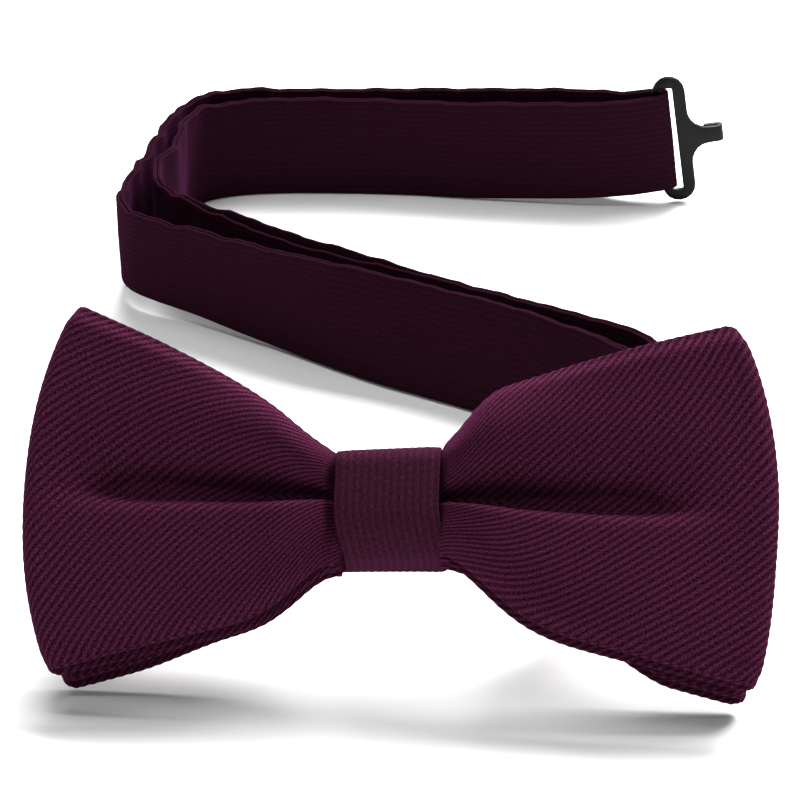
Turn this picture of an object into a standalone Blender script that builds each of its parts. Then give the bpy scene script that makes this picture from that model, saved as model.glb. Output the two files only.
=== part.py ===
"""A pre-tied bow tie with an adjustable neck band, a hook and an eye."""
import math

import bmesh
import bpy
from mathutils import Euler, Matrix, Vector

MM = 0.001

# Pose of the bow on the table
LEAN = 44.0            # degrees that the bow leans back from upright
YAW = 3.8              # degrees that its right side comes forward
KNOT_AT = Vector((0.0, -2.1, 26.1))   # the knot's centre
SHIFT = Vector((-4.050, -77.303, 0.028))   # puts the origin under the middle of the whole

# Bow loops
CLOTH = 0.8
LINING = 0.4
LINING_INSET = 1.2
FOLD_R = 2.7           # radius of the rounded outer fold
WAIST_H = 5.5          # half height of the gathered waist
WAIST_EDGE = 8.35      # distance from the middle to where the wings open
FRONT_LEFT = 58.4
FRONT_RIGHT = 61.8
REAR_SHORTER = 1.8
REAR_DROP = 0.8        # how much lower the rear bow's wings sit
REAR_LIFT_LEFT = 1.4   # how much higher its lower edge runs between the knot and the corner
REAR_LIFT_RIGHT = 3.6

# Edge of a wing: height at the corner, rise per mm, pinch depth, pinch length, corner inset
EDGE_TOP_LEFT = (31.2, 0.45, 3.6, 9.5, 5.6)
EDGE_TOP_RIGHT = (30.9, 0.31, 6.2, 5.1, 6.8)
EDGE_BOTTOM_LEFT = (29.8, 0.285, 7.0, 7.6, 5.2)
EDGE_BOTTOM_RIGHT = (28.8, 0.235, 8.0, 10.5, 2.6)

# Depth of the layers towards the wearer's front: at the waist, puff, middle and end of a wing
STATIONS = (0.0, 8.3, 18.0, 35.0, 56.0)
FRONT_CREST = (5.2, 5.2, 9.2, 8.4, 6.6)
FRONT_VALLEY = (1.0, 1.0, 5.6, 3.4, 0.0)
FRONT_BACK = (1.4, 1.4, 0.2, 0.6, 1.2)
FRONT_BACK_WAVE = (1.0, 1.0, 0.4, 0.0, 0.0)
REAR_CREST = (0.9, 0.9, -0.9, -0.9, -1.3)
REAR_WAVE = (1.0, 1.0, 0.8, 0.4, 0.0)
REAR_BACK = (-2.9, -2.9, -6.0, -6.8, -6.7)
REAR_BACK_WAVE = (1.0, 1.0, -0.6, -0.6, 0.0)

# Rows of points: shares of the half height, and distances from the middle on a 56 mm wing
SHARES = (-1, -0.78, -0.55, -0.34, -0.18, -0.08, 0, 0.14, 0.28, 0.5, 0.78, 1)
STEPS = (0, 4.5, 8.3, 10.0, 12.5, 16, 20, 25, 31, 39, 47, 56)

# Knot
KNOT_W = 16.5
KNOT_HALF = 8.7
KNOT_LOW = 0.4         # how far the knot's middle lies below the bow's
KNOT_FRONT = 8.3
KNOT_BACK = 8.6
KNOT_CORNER = 3.6
WRAP = 0.7
PADDING = 0.4

# Neck band
BAND = 20.5
BAND_T = 1.6
SPACING = 3.6          # distance between two points of a strap's route
BEND_R = 1.7           # radius of a strap's middle round a metal bar
CORNER = Vector((-38.0, 119.0, 10.0))   # where the band turns at the left
CORNER_LEAN = 2.0      # degrees that its top leans out there
WALL_LEAN = 16.0       # degrees that its top leans back on the run behind the right wing
KNOT_SHARE = 0.58      # share of its width to which the knot gathers the band
BAND_BEHIND = 5.9      # depth of the band's middle behind the knot's centre
LIFT = 2.7             # how far a metal plate's lobe lifts the band
PLATE = 0.9
BAR = 1.2

# Slider: middle of the straight stretch and the direction of the stretch
SLIDE_MID = Vector((38.1, 36.8, BAND / 2 + LIFT))
SLIDE_DIR = Vector((0.256, 0.967, 0.0)).normalized()
SLIDE_OUT = Vector((0.967, -0.256, 0.0)).normalized()
TAB_T = 1.2

HOOK_AT = Vector((53.9, 174.8, BAND / 2 + LIFT + 0.3))
HOOK_TILT = 8.0        # degrees, top towards the left

for old in list(bpy.data.objects):
    bpy.data.objects.remove(old)
bow_tie = bpy.data.collections.new("bow_tie")
bpy.context.scene.collection.children.link(bow_tie)
tools = bpy.data.collections.new("tools")
bpy.context.scene.collection.children.link(tools)


def material(name, colour, roughness, metallic=0.0):
    made = bpy.data.materials.new(name)
    made.use_nodes = True
    shader = made.node_tree.nodes["Principled BSDF"]
    shader.inputs["Base Color"].default_value = (*colour, 1.0)
    shader.inputs["Roughness"].default_value = roughness
    shader.inputs["Metallic"].default_value = metallic
    made.diffuse_color = (*colour, 1.0)
    return made


SATIN = material("satin", (0.075, 0.012, 0.045), 0.45)
LINING_CLOTH = material("interlining", (0.03, 0.012, 0.022), 0.9)
THREAD = material("thread", (0.05, 0.01, 0.035), 0.7)
METAL = material("black_metal", (0.012, 0.012, 0.012), 0.35, 0.9)


def add(name, data, look):
    obj = bpy.data.objects.new(name, data)
    obj.data.materials.append(look)
    bow_tie.objects.link(obj)
    return obj


def frame(name, location, rotation, parent=None):
    """An empty that carries the pieces of one body, on its joint axis."""
    obj = bpy.data.objects.new(name, None)
    obj.location = location * MM
    obj.rotation_euler = rotation
    obj.parent = parent
    bow_tie.objects.link(obj)
    return obj


def solidify(obj, thickness, offset):
    made = obj.modifiers.new("thickness", "SOLIDIFY")
    made.thickness = thickness * MM
    made.offset = offset
    made.use_even_offset = True
    return made


def smooth(x):
    x = min(max(x, 0.0), 1.0)
    return x * x * (3 - 2 * x)


def along(values, s):
    """A smooth curve through one value at each station of a wing."""
    for i in range(len(STATIONS) - 1):
        if s <= STATIONS[i + 1]:
            step = smooth((s - STATIONS[i]) / (STATIONS[i + 1] - STATIONS[i]))
            return values[i] + (values[i + 1] - values[i]) * step
    return values[-1]


def edge_height(edge, s, length):
    corner, rise, pinch, reach, inset = edge
    open_height = corner - rise * (length - inset - s)
    open_height -= pinch * math.exp(-(((s - WAIST_EDGE) / reach) ** 2))
    opened = smooth((s - WAIST_EDGE + 0.1) / 1.6)
    return WAIST_H + 0.4 + (open_height - WAIST_H - 0.4) * opened


def wing_point(side, rear, back, s, q):
    """A point of a bow's outer surface at s mm from the middle and share q of the half height."""
    if side < 0:
        top, bottom, length = EDGE_TOP_LEFT, EDGE_BOTTOM_LEFT, FRONT_LEFT
    else:
        top, bottom, length = EDGE_TOP_RIGHT, EDGE_BOTTOM_RIGHT, FRONT_RIGHT
    v = q * (edge_height(top, s, length) if q > 0 else edge_height(bottom, s, length))
    valley = math.exp(-((q / (0.28 if q > 0 else 0.18)) ** 2))
    wave = math.exp(-((q / 0.42) ** 2))
    tuck = max(0.0, abs(q) - 0.55) ** 2 / 0.2
    if rear:
        if back:
            w = along(REAR_BACK, s) - along(REAR_BACK_WAVE, s) * wave
        else:
            w = along(REAR_CREST, s) - along(REAR_WAVE, s) * wave
    elif back:
        w = along(FRONT_BACK, s) - along(FRONT_BACK_WAVE, s) * wave
    else:
        puff = math.exp(-(((s - 18.0) / 12.0) ** 2))
        w = along(FRONT_CREST, s) - along(FRONT_VALLEY, s) * valley - 2.6 * puff * tuck
    if rear:
        v -= REAR_DROP * smooth((s - 20.0) / 36.0)
        lift = REAR_LIFT_LEFT if side < 0 else REAR_LIFT_RIGHT
        v += lift * max(0.0, -q) * smooth((s - 9.0) / 9.0) * (1 - smooth((s - 30.0) / 22.0))
    return Vector((side * s, -w, v))


def bow_surface(rear, inset):
    """Rows of points round one bow's loop, each moved inwards by the inset."""
    rows = []
    for side in (-1, 1):
        length = (FRONT_LEFT if side < 0 else FRONT_RIGHT) - (REAR_SHORTER if rear else 0.0)
        top = EDGE_TOP_LEFT if side < 0 else EDGE_TOP_RIGHT
        bottom = EDGE_BOTTOM_LEFT if side < 0 else EDGE_BOTTOM_RIGHT
        front_rows = []
        back_rows = []
        arc_rows = []
        for step in STEPS:
            front_rows.append([])
            back_rows.append([])
            for q in SHARES:
                end = length - (top if q > 0 else bottom)[4] * q * q - FOLD_R
                s = step if step < 9.0 else 9.0 + (step - 9.0) / 47.0 * (end - 9.0)
                front_rows[-1].append(wing_point(side, rear, False, s, q))
                back_rows[-1].append(wing_point(side, rear, True, s, q))
        front_end = front_rows[-1]
        back_end = back_rows[-1]
        for turn in (36, 72, 108, 144):
            angle = math.radians(turn)
            row = []
            for a, b in zip(front_end, back_end):
                middle = (a + b) / 2
                half = (a - b) / 2
                radius = half.length
                row.append(middle + half * math.cos(angle)
                           + Vector((side * radius * math.sin(angle), 0, 0)))
            arc_rows.append(row)
        loop = front_rows + arc_rows + back_rows[::-1]
        rows.append(loop)
    left, right = rows
    around = right[:-1] + left[::-1][:-1]
    if inset:
        around = inwards(around, inset)
    return around


def inwards(rows, inset):
    count = len(rows)
    moved = []
    for i, row in enumerate(rows):
        new = []
        for j, point in enumerate(row):
            ahead = rows[(i + 1) % count][j] - rows[i - 1][j]
            up = row[min(j + 1, len(row) - 1)] - row[max(j - 1, 0)]
            normal = ahead.cross(up).normalized()
            new.append(point - normal * inset)
        moved.append(new)
    return moved


def loop_mesh(name, outer, inner):
    """A strip of cloth closed on itself, lofted between its outer and its inner surface."""
    mesh = bpy.data.meshes.new(name)
    shape = bmesh.new()
    grid = [[shape.verts.new(point * MM) for point in out_row + in_row[::-1]]
            for out_row, in_row in zip(outer, inner)]
    for i, row in enumerate(grid):
        ahead = grid[(i + 1) % len(grid)]
        for j in range(len(row)):
            k = (j + 1) % len(row)
            shape.faces.new((row[j], row[k], ahead[k], ahead[j]))
    bmesh.ops.recalc_face_normals(shape, faces=shape.faces)
    shape.to_mesh(mesh)
    shape.free()
    return mesh


def smooth_route(points, spacing):
    """Points every so many mm on a smooth curve through the route's own points."""
    route = []
    ends = [points[0] * 2 - points[1]] + points + [points[-1] * 2 - points[-2]]
    for i in range(1, len(ends) - 2):
        before, start, end, after = ends[i - 1:i + 3]
        count = max(1, round((end - start).length / spacing))
        for k in range(count):
            t = k / count
            route.append(0.5 * (2 * start + (end - before) * t
                                + (2 * before - 5 * start + 4 * end - after) * t ** 2
                                + (3 * start - before - 3 * end + after) * t ** 3))
    route.append(points[-1])
    return route


def ribbon(name, route, leans, shares, width, thickness, look):
    """A strap of cloth on edge along a route, with its lean in degrees and its share of the width."""
    curve = bpy.data.curves.new(name, "CURVE")
    curve.dimensions = "3D"
    curve.twist_mode = "Z_UP"
    curve.extrude = width / 2 * MM
    spline = curve.splines.new("POLY")
    spline.points.add(len(route) - 1)
    for point, place, lean, share in zip(spline.points, route, leans, shares):
        point.co = (*(place * MM), 1.0)
        point.radius = share
        point.tilt = math.radians(-lean)
    obj = add(name, curve, look)
    solidify(obj, thickness, 0.0)
    return obj


def outline(points, cyclic_splines, depth, name, look):
    """A flat plate with holes: closed outlines filled and extruded to a depth."""
    curve = bpy.data.curves.new(name, "CURVE")
    curve.dimensions = "2D"
    curve.fill_mode = "BOTH"
    curve.extrude = depth / 2 * MM
    for ring in [points] + cyclic_splines:
        spline = curve.splines.new("POLY")
        spline.points.add(len(ring) - 1)
        for point, (x, y) in zip(spline.points, ring):
            point.co = (x * MM, y * MM, 0.0, 1.0)
        spline.use_cyclic_u = True
    return add(name, curve, look)


def box(name, size, look, parent, place):
    mesh = bpy.data.meshes.new(name)
    made = bmesh.new()
    bmesh.ops.create_cube(made, size=MM, matrix=Matrix.Diagonal((*size, 1.0)))
    made.to_mesh(mesh)
    made.free()
    obj = add(name, mesh, look)
    obj.parent = parent
    obj.location = place * MM
    return obj


def to_mesh_object(obj):
    """Turns a filled curve into a welded mesh, so that a Boolean can take it."""
    bpy.context.view_layer.update()
    mesh = bpy.data.meshes.new_from_object(obj)
    made = bmesh.new()
    made.from_mesh(mesh)
    bmesh.ops.remove_doubles(made, verts=made.verts, dist=0.001 * MM)
    bmesh.ops.recalc_face_normals(made, faces=made.faces)
    made.to_mesh(mesh)
    made.free()
    solid = bpy.data.objects.new(obj.name + "_solid", mesh)
    solid.rotation_euler = obj.rotation_euler
    solid.location = obj.location
    solid.parent = obj.parent
    bow_tie.objects.link(solid)
    name = obj.name
    bpy.data.objects.remove(obj)
    solid.name = name
    return solid


def join(obj, tool):
    """Unites a hidden tool with a piece."""
    made = obj.modifiers.new(tool.name, "BOOLEAN")
    made.operation = "UNION"
    made.solver = "EXACT"
    made.object = tool
    bow_tie.objects.unlink(tool)
    tools.objects.link(tool)
    tool.hide_render = True
    tool.display_type = "WIRE"


def rounded(x0, y0, x1, y1, radius, steps=4):
    """A rectangle with rounded corners."""
    ring = []
    corners = ((x1 - radius, y1 - radius, 0), (x0 + radius, y1 - radius, 90),
               (x0 + radius, y0 + radius, 180), (x1 - radius, y0 + radius, 270))
    for cx, cy, start in corners:
        for k in range(steps + 1):
            angle = math.radians(start + 90 * k / steps)
            ring.append((cx + radius * math.cos(angle), cy + radius * math.sin(angle)))
    return ring


# Root and bow frame
root = frame("root", SHIFT, (0, 0, 0))
bow_turn = (math.radians(-LEAN), 0, math.radians(-YAW))
bow = frame("bow_frame", KNOT_AT, bow_turn, root)

for rear, label in ((False, "front_bow"), (True, "rear_bow")):
    layers = [bow_surface(rear, inset) for inset in
              (0, CLOTH, LINING_INSET, LINING_INSET + LINING)]
    shell = add(label + "_shell", loop_mesh(label, layers[0], layers[1]), SATIN)
    shell.parent = bow
    lining = add(label + "_interlining", loop_mesh(label + "_lining", layers[2], layers[3]),
                 LINING_CLOTH)
    lining.parent = bow


# Knot: wrap, padding, binding thread and seam round the two waists
def ring_round_waist(name, inset, thickness, width, look):
    rings = []
    for more in (inset, inset + thickness):
        rings.append(rounded(-KNOT_BACK + more, -KNOT_HALF + more, KNOT_FRONT - more,
                             KNOT_HALF - more, KNOT_CORNER - more * 0.8, 5))
    ring = outline(rings[0], [rings[1]], width, name, look)
    ring.parent = bow
    ring.location = (0, 0, -KNOT_LOW * MM)
    ring.rotation_euler = (math.radians(90), 0, math.radians(-90))
    return ring


ring_round_waist("knot_wrap", 0.0, WRAP, KNOT_W, SATIN)
ring_round_waist("knot_interlining", WRAP + 0.25, PADDING, KNOT_W - 1.0, LINING_CLOTH)
box("knot_seam_stitch", (0.8, 0.4, 11.0), THREAD, bow, Vector((2.0, KNOT_BACK + 0.5, 0)))

thread = bpy.data.curves.new("waist_binding_thread", "CURVE")
thread.dimensions = "3D"
thread.bevel_depth = 0.25 * MM
thread.bevel_resolution = 1
spline = thread.splines.new("POLY")
turns = rounded(-4.6, -6.6, 5.9, 6.6, 1.8, 4)
spline.points.add(len(turns) - 1)
for point, (x, y) in zip(spline.points, turns):
    point.co = (0, -x * MM, y * MM, 1.0)
spline.use_cyclic_u = True
add("waist_binding_thread", thread, THREAD).parent = bow

# Neck band: behind the knot, through the slider, round the S, through the hook and back
BOW_TO_ROOT = Matrix.Translation(KNOT_AT) @ Euler(bow_turn).to_matrix().to_4x4()
MID = BAND / 2
TILT_RISE = math.tan(math.radians(HOOK_TILT))


def behind(u, w, v=0.0):
    """A point given in the bow's own frame."""
    return BOW_TO_ROOT @ Vector((u, -w, v))


def slider_point(p, q):
    return SLIDE_MID + SLIDE_DIR * p + SLIDE_OUT * q


def hook_side(p, q):
    """A point near the hook: p along the band's end, q behind its bar."""
    return HOOK_AT + Vector((p, q, TILT_RISE * p))


knot_end = [behind(-8.2, -BAND_BEHIND), behind(0.0, -BAND_BEHIND), behind(8.6, -BAND_BEHIND)]
leaving = [behind(14.0, -8.4, 0.6), behind(20.0, -11.0, 0.4), Vector((29.0, 10.6, 16.6))]
outer_way = [slider_point(p, 0) for p in (-16, -8, 0, 8, 16)]
outer_way += [Vector(place) for place in (
    (43.4, 58.5, MID + 1.4), (42.6, 63.2, MID + 0.7), (39.2, 67.6, MID + 0.2),
    (30.0, 74.4, MID), (19.4, 82.7, MID - 0.15), (7.5, 90.3, MID - 0.15),
    (-3.0, 96.2, MID), (-15.0, 103.7, MID), (-27.0, 111.8, MID), (-36.0, 118.0, MID),
    (-44.0, 122.8, MID), (-48.6, 126.8, MID), (-50.6, 132.0, MID), (-50.3, 138.5, MID),
    (-48.6, 145.6, MID), (-46.6, 153.0, MID), (-45.2, 161.0, MID), (-43.2, 170.0, MID),
    (-40.0, 177.0, MID), (-35.6, 181.6, MID), (-29.6, 183.6, MID), (-18.0, 183.6, MID),
    (2.0, 183.9, MID),
    (16.0, 183.1, MID + 0.2), (36.0, 181.0, MID + 1.2))]
outer_way.append(hook_side(-6.5, 1.9))
fold_turns = [20 * k for k in range(10)]
fold = [hook_side(BEND_R * math.sin(math.radians(a)), BEND_R * math.cos(math.radians(a)))
        for a in fold_turns]
inner_way = [hook_side(-6.5, -2.0)]
inner_way += [Vector(place) for place in (
    (41.0, 172.9, MID + 1.6), (34.0, 173.6, MID + 1.1), (16.4, 175.9, MID + 0.2),
    (2.1, 178.0, MID), (-18.0, 178.8, MID), (-30.0, 177.6, MID), (-37.2, 174.2, MID),
    (-40.4, 168.2, MID), (-41.0, 160.0, MID), (-41.9, 154.0, MID), (-44.0, 149.0, MID),
    (-44.6, 143.5, MID), (-43.2, 137.4, MID), (-39.6, 131.6, MID), (-34.0, 126.2, MID),
    (-27.4, 121.0, MID), (-15.0, 110.6, MID), (7.5, 96.5, MID), (19.7, 89.0, MID),
    (30.6, 81.6, MID + 0.2), (40.6, 74.6, MID + 0.6), (45.0, 70.8, MID + 0.8),
    (46.9, 65.6, MID + 1.2))]
inner_way += [slider_point(p, q) for p, q in ((24, 4.9), (18, 6.3), (12, 6.6), (7.5, 6.6))]

outer_route = smooth_route(knot_end + leaving + outer_way, SPACING)
inner_route = smooth_route(inner_way, SPACING)
outer_leans = []
outer_shares = []
gone = 0.0
for k, place in enumerate(outer_route):
    gone += (place - outer_route[k - 1]).length if k else 0.0
    corner = (place - CORNER).length
    behind_wing = smooth((place.x + 24.0) / 32.0) * smooth((place.y - 62.0) / 12.0)
    wall = behind_wing * (1 - smooth((place.y - 110.0) / 12.0))
    outer_leans.append(LEAN * (1 - smooth((gone - 17.0) / 26.0))
                       + CORNER_LEAN * math.exp(-((corner / 22.0) ** 2)) - WALL_LEAN * wall)
    outer_shares.append(KNOT_SHARE + (1 - KNOT_SHARE) * smooth((gone - 17.0) / 10.0))
fold_leans = [-HOOK_TILT * math.sin(math.radians(a)) for a in fold_turns]
rest = len(fold) + len(inner_route)
neck_band = ribbon("neck_band", outer_route + fold + inner_route,
                   outer_leans + fold_leans + [0.0] * len(inner_route),
                   outer_shares + [1.0] * rest, BAND, BAND_T, SATIN)
neck_band.parent = root

# Short strap, hinged where it is sewn beside the knot, and folded round the eye's bar
short_body = frame("short_strap_axis", behind(-9.4, -BAND_BEHIND), bow_turn, root)
EYE_AT = Vector((-38.0, 4.3, 0.0))


def round_bar(at, angle):
    turn = math.radians(angle)
    return at + Vector((-BEND_R * math.sin(turn), BEND_R * math.cos(turn), 0))


short_route = smooth_route([Vector((-0.9, 0, 0)), Vector((-4.0, 1.6, 0)), Vector((-9.5, 4.9, 0)),
                            Vector((-20.0, 6.1, 0)), Vector((-30.0, 6.1, 0))], SPACING)
short_route += [round_bar(EYE_AT, a) for a in fold_turns]
short_route += [EYE_AT + Vector((3.0, -1.6, 0)), EYE_AT + Vector((8.0, -0.4, 0))]
short_shares = [min(1.0, 0.72 - place.x / 30.0) for place in short_route]
short_strap = ribbon("short_strap", short_route, [0.0] * len(short_route), short_shares,
                     BAND, BAND_T, SATIN)
short_strap.parent = short_body
box("short_strap_stitch", (0.8, 0.4, 17.0), THREAD, short_body, Vector((-31.5, 7.6, 0)))

# Hook and eye: flat plates with a slot for the strap and an arm on the outer side
PLATE_RING = rounded(-BAR / 2, -13.3, 5.9, 13.3, 3.27)
SLOT_RING = rounded(BAR / 2, -11.0, 3.4, 11.0, 0.35, 2)
HOOK_ARM = [(5.9, -5.4), (6.05, -4.4), (6.5, -3.4), (7.2, -2.5), (8.2, -1.9), (9.4, -1.65),
            (11.6, -1.6), (11.6, 1.6), (9.4, 1.65), (8.2, 1.9), (7.2, 2.5), (6.5, 3.4),
            (6.05, 4.4), (5.9, 5.4)]
EYE_ARM = [(5.9, -5.6), (6.6, -4.9), (9.0, -4.6), (10.6, -3.4), (11.2, -1.6),
           (11.2, 1.6), (10.6, 3.4), (9.0, 4.6), (6.6, 4.9), (5.9, 5.6)]
EYE_HOLE = rounded(7.2, -2.6, 9.6, 2.6, 1.1, 3)


def metal_plate(name, arm, holes, parent, turned):
    plate = outline(PLATE_RING + arm, holes, PLATE, name, METAL)
    plate.rotation_euler = (math.radians(90), 0, math.radians(180 if turned else 0))
    plate.parent = parent
    return to_mesh_object(plate)


hook_body = frame("hook_axis", HOOK_AT, (0, math.radians(-HOOK_TILT), 0), root)
hook = metal_plate("hook", HOOK_ARM, [SLOT_RING], hook_body, False)
curl = []
for radius, angles in ((1.15, range(-90, 91, 30)), (0.3, range(90, -91, -30))):
    curl += [(11.4 + radius * math.cos(math.radians(a)), 0.7 + radius * math.sin(math.radians(a)))
             for a in angles]
    if radius > 1:
        curl += [(9.2, 1.85), (8.8, 1.5), (9.2, 1.0)]
tongue = outline(curl, [], 3.2, "hook_tongue_tool", METAL)
tongue.parent = hook_body
join(hook, to_mesh_object(tongue))

eye_body = frame("eye_axis", EYE_AT, (0, 0, 0), short_body)
metal_plate("eye", EYE_ARM, [SLOT_RING, EYE_HOLE], eye_body, True)

# Slider: two outer bars, a raised middle bar and the rails above and below the band
slide_body = frame("slider_axis", SLIDE_MID, (0, 0, math.atan2(SLIDE_DIR.y, SLIDE_DIR.x)), root)
RAIL_Z = MID + 0.4 + PLATE / 2
MIDDLE_BAR = -3.3
RAIL = [(-7.5, 1.1), (-0.75, MIDDLE_BAR - 0.6), (0.75, MIDDLE_BAR - 0.6), (7.5, 1.1),
        (7.5, 2.3), (-7.5, 2.3)]
slider = box("slider", (2.0, PLATE, 2 * RAIL_Z), METAL, slide_body, Vector((-6.5, 1.7, 0)))
far_bar = box("slider_far_bar_tool", (2.0, PLATE, 2 * RAIL_Z), METAL, slide_body,
              Vector((6.5, 1.7, 0)))
middle_bar = box("slider_middle_bar_tool", (BAR, PLATE, 2 * RAIL_Z), METAL, slide_body,
                 Vector((0, MIDDLE_BAR, 0)))
for side in (-1, 1):
    rail = outline(RAIL, [], PLATE, "slider_rail_tool_" + ("low" if side < 0 else "high"), METAL)
    rail.parent = slide_body
    rail.location = (0, 0, side * RAIL_Z * MM)
    join(slider, to_mesh_object(rail))
join(slider, far_bar)
join(slider, middle_bar)

TAB_R = 0.9 + TAB_T / 2
tab_route = [Vector((11.0, MIDDLE_BAR + TAB_R, 0)), Vector((6.0, MIDDLE_BAR + TAB_R, 0)),
             Vector((2.0, MIDDLE_BAR + TAB_R, 0))]
tab_route += [Vector((-TAB_R * math.sin(math.radians(a)),
                      MIDDLE_BAR + TAB_R * math.cos(math.radians(a)), 0)) for a in fold_turns]
tab_route += [Vector((2.0, MIDDLE_BAR - TAB_R, 0)), Vector((6.0, MIDDLE_BAR - TAB_R, 0)),
              Vector((11.0, MIDDLE_BAR - TAB_R + 0.3, 0))]
tab = ribbon("slider_tab", tab_route, [0.0] * len(tab_route), [1.0] * len(tab_route),
             BAND, TAB_T, SATIN)
tab.parent = slide_body
box("slider_tab_stitch", (0.8, 1.0, 17.0), THREAD, slide_body, Vector((8.0, MIDDLE_BAR + 0.05, 0)))
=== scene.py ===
"""Looks of a pre-tied bow tie: ribbed satin loops, knot and neck band, and black metal clips.

Lengths are in mm until a mesh is made. In the bow's own frame x goes across, w out to the front
(which is -y) and v up. A point on a wing is s mm from the bow's middle, at share q of the half
height. Sizes and places are the CAD's own, except where a comment says otherwise.
"""
import math
from collections import namedtuple

import bmesh
import bpy
import numpy as np
from mathutils import Euler, Matrix, Vector


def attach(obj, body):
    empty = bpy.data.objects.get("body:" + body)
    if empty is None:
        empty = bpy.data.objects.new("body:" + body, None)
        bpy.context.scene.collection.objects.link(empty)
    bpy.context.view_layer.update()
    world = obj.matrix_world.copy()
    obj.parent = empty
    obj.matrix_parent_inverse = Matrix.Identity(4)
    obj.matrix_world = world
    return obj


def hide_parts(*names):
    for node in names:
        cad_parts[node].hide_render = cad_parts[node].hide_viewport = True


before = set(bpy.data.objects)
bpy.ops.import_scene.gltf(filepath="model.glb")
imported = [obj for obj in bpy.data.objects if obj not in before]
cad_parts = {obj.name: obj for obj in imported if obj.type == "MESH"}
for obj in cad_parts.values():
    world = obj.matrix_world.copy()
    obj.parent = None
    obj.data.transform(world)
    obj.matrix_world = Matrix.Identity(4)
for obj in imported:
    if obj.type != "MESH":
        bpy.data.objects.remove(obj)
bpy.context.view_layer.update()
MM = 0.001

# Pose of the bow
LEAN = 44.0
YAW = 3.8
KNOT_AT = Vector((0.0, -2.1, 26.1))
SHIFT = Vector((-4.050, -77.303, 0.028))        # of the whole tie, which puts its middle at 0
BOW = (Matrix.Translation(KNOT_AT + SHIFT)
       @ Euler((math.radians(-LEAN), 0, math.radians(-YAW))).to_matrix().to_4x4())

# Camera: at the photograph's angle, and far off for its flat perspective
CAMERA_TILT = 27.0
CAMERA_FAR = 650.0
CAMERA_LENS = 184.0
CAMERA_OFF = (2.07, 17.17)     # how far right of the knot and above it the view's middle is

# Cloth
PITCH = 1.2                    # distance between two ribs
RIB = 0.055                    # height of a rib
STEP = PITCH / 4               # between two points across the ribs
KNOT_RIB = 0.03
STRAP_RIB = RIB * 0.45
BOW_CLOTH = 0.8                # thickness
BOW_SLANT = (1, -1)            # steps of a rib from one row, and from one column, to the next
INNER_POINTS = 17              # across the loops' hidden side

# Wings. Their edges and folds follow the photograph more closely than the CAD's.
# An edge has a corner height and a rise towards it, a pinch beside the knot and its reach, an inset
# of its corner, and the place where it opens out of the knot, and over what distance.
Edge = namedtuple("Edge", "corner rise pinch reach inset opens over")
# A wing's length is the front bow's. Its end fold is pressed flat to a share of a half round. The
# rear bow's lower edge is lifted behind it, and that fades from lift_to on, over a distance.
Wing = namedtuple("Wing", "side length top bottom end_fold rear_lift lift_to lift_fade")
RIGHT = Wing(side=1, length=61.8,
             top=Edge(30.9, 0.31, 6.6, 5.3, 6.0, opens=6.9, over=2.6),
             bottom=Edge(28.4, 0.225, 8.6, 11.1, 2.1, opens=7.4, over=1.6),
             end_fold=1.05, rear_lift=3.4, lift_to=33.0, lift_fade=13.0)
LEFT = Wing(side=-1, length=58.4,
            top=Edge(31.3, 0.45, 3.6, 9.5, 5.7, opens=6.8, over=1.4),
            bottom=Edge(29.8, 0.285, 6.4, 7.2, 5.4, opens=5.7, over=1.2),
            end_fold=0.72, rear_lift=1.4, lift_to=24.0, lift_fade=16.0)
FOLD_R = 2.7
WAIST_H = 5.9                  # half height inside the knot
WAIST_EDGE = 8.35
WAIST_FLAT = 9.0               # up to here a wing's points aren't spaced by its slanted end
STRIP_HALF = 30.0              # half height of the flat strip
REAR_SHORTER = 1.8
REAR_DROP = 0.8
HEM_TUCK = 1.1                 # how far the front's hems curl back
LEAST_APART = 2.4              # between the front and the back of the front bow

# Folds along a wing, as w at each station. Their widths are shares of the half height.
STATIONS = (0.0, 8.3, 18.0, 35.0, 56.0)
FRONT_CREST = (5.2, 5.2, 9.2, 8.4, 6.6)
FRONT_VALLEY = (1.0, 1.0, 5.6, 4.6, 0.0)
FRONT_BACK = (1.4, 1.4, 0.2, 0.6, 1.2)
FRONT_BACK_WAVE = (1.0, 1.0, 0.4, 0.0, 0.0)
REAR_CREST = (0.9, 0.9, -0.9, -0.9, -1.3)
REAR_WAVE = (1.0, 1.0, 0.8, 0.4, 0.0)
REAR_BACK = (-2.9, -2.9, -6.0, -6.8, -6.7)
REAR_BACK_WAVE = (1.0, 1.0, -0.6, -0.6, 0.0)
VALLEY_WIDE = (0.28, 0.085)    # above the fold, and below it
CREASE_WIDE = (0.13, 0.05)
WAVE_WIDE = 0.42
TUCK_FROM = 0.55               # outside this the front curves back, most at PUFF_AT
TUCK_UNIT = 0.2
PUFF_AT = 18.0
PUFF_OVER = 12.0
PUFF_TUCK = 2.6
# The pleat beside the knot: where it starts and over what distance, its middle and its reach
PLEAT_NEAR = (7.6, 2.4, 9.5, 6.5)
PLEAT_UP = 2.4
PLEAT_DOWN = 4.2
PLEAT_DOWN_FAR = 2.4           # its depth further out

# Knot. Its front follows the photograph more closely than the CAD's.
KNOT_HALF_W = 8.25
KNOT_HALF = 8.7
KNOT_LOW = 0.4
KNOT_ROLL = 0.075              # the front turned a little in the wings' plane
KNOT_FRONT = 8.3
KNOT_BACK = 8.6
KNOT_ROUND_TOP = 3.4           # radius of the front's upper corner
KNOT_ROUND_LOW = 6.4
KNOT_ROUND_BACK = 3.6
KNOT_RIGHTWARDS_LEFT = (0.55, -0.1, 1.75)   # all over, and more at the upper and lower corner
KNOT_RIGHTWARDS_RIGHT = (0.1, -0.1, 1.7)
KNOT_ROWS = 128
WRAP = 0.7

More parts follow.
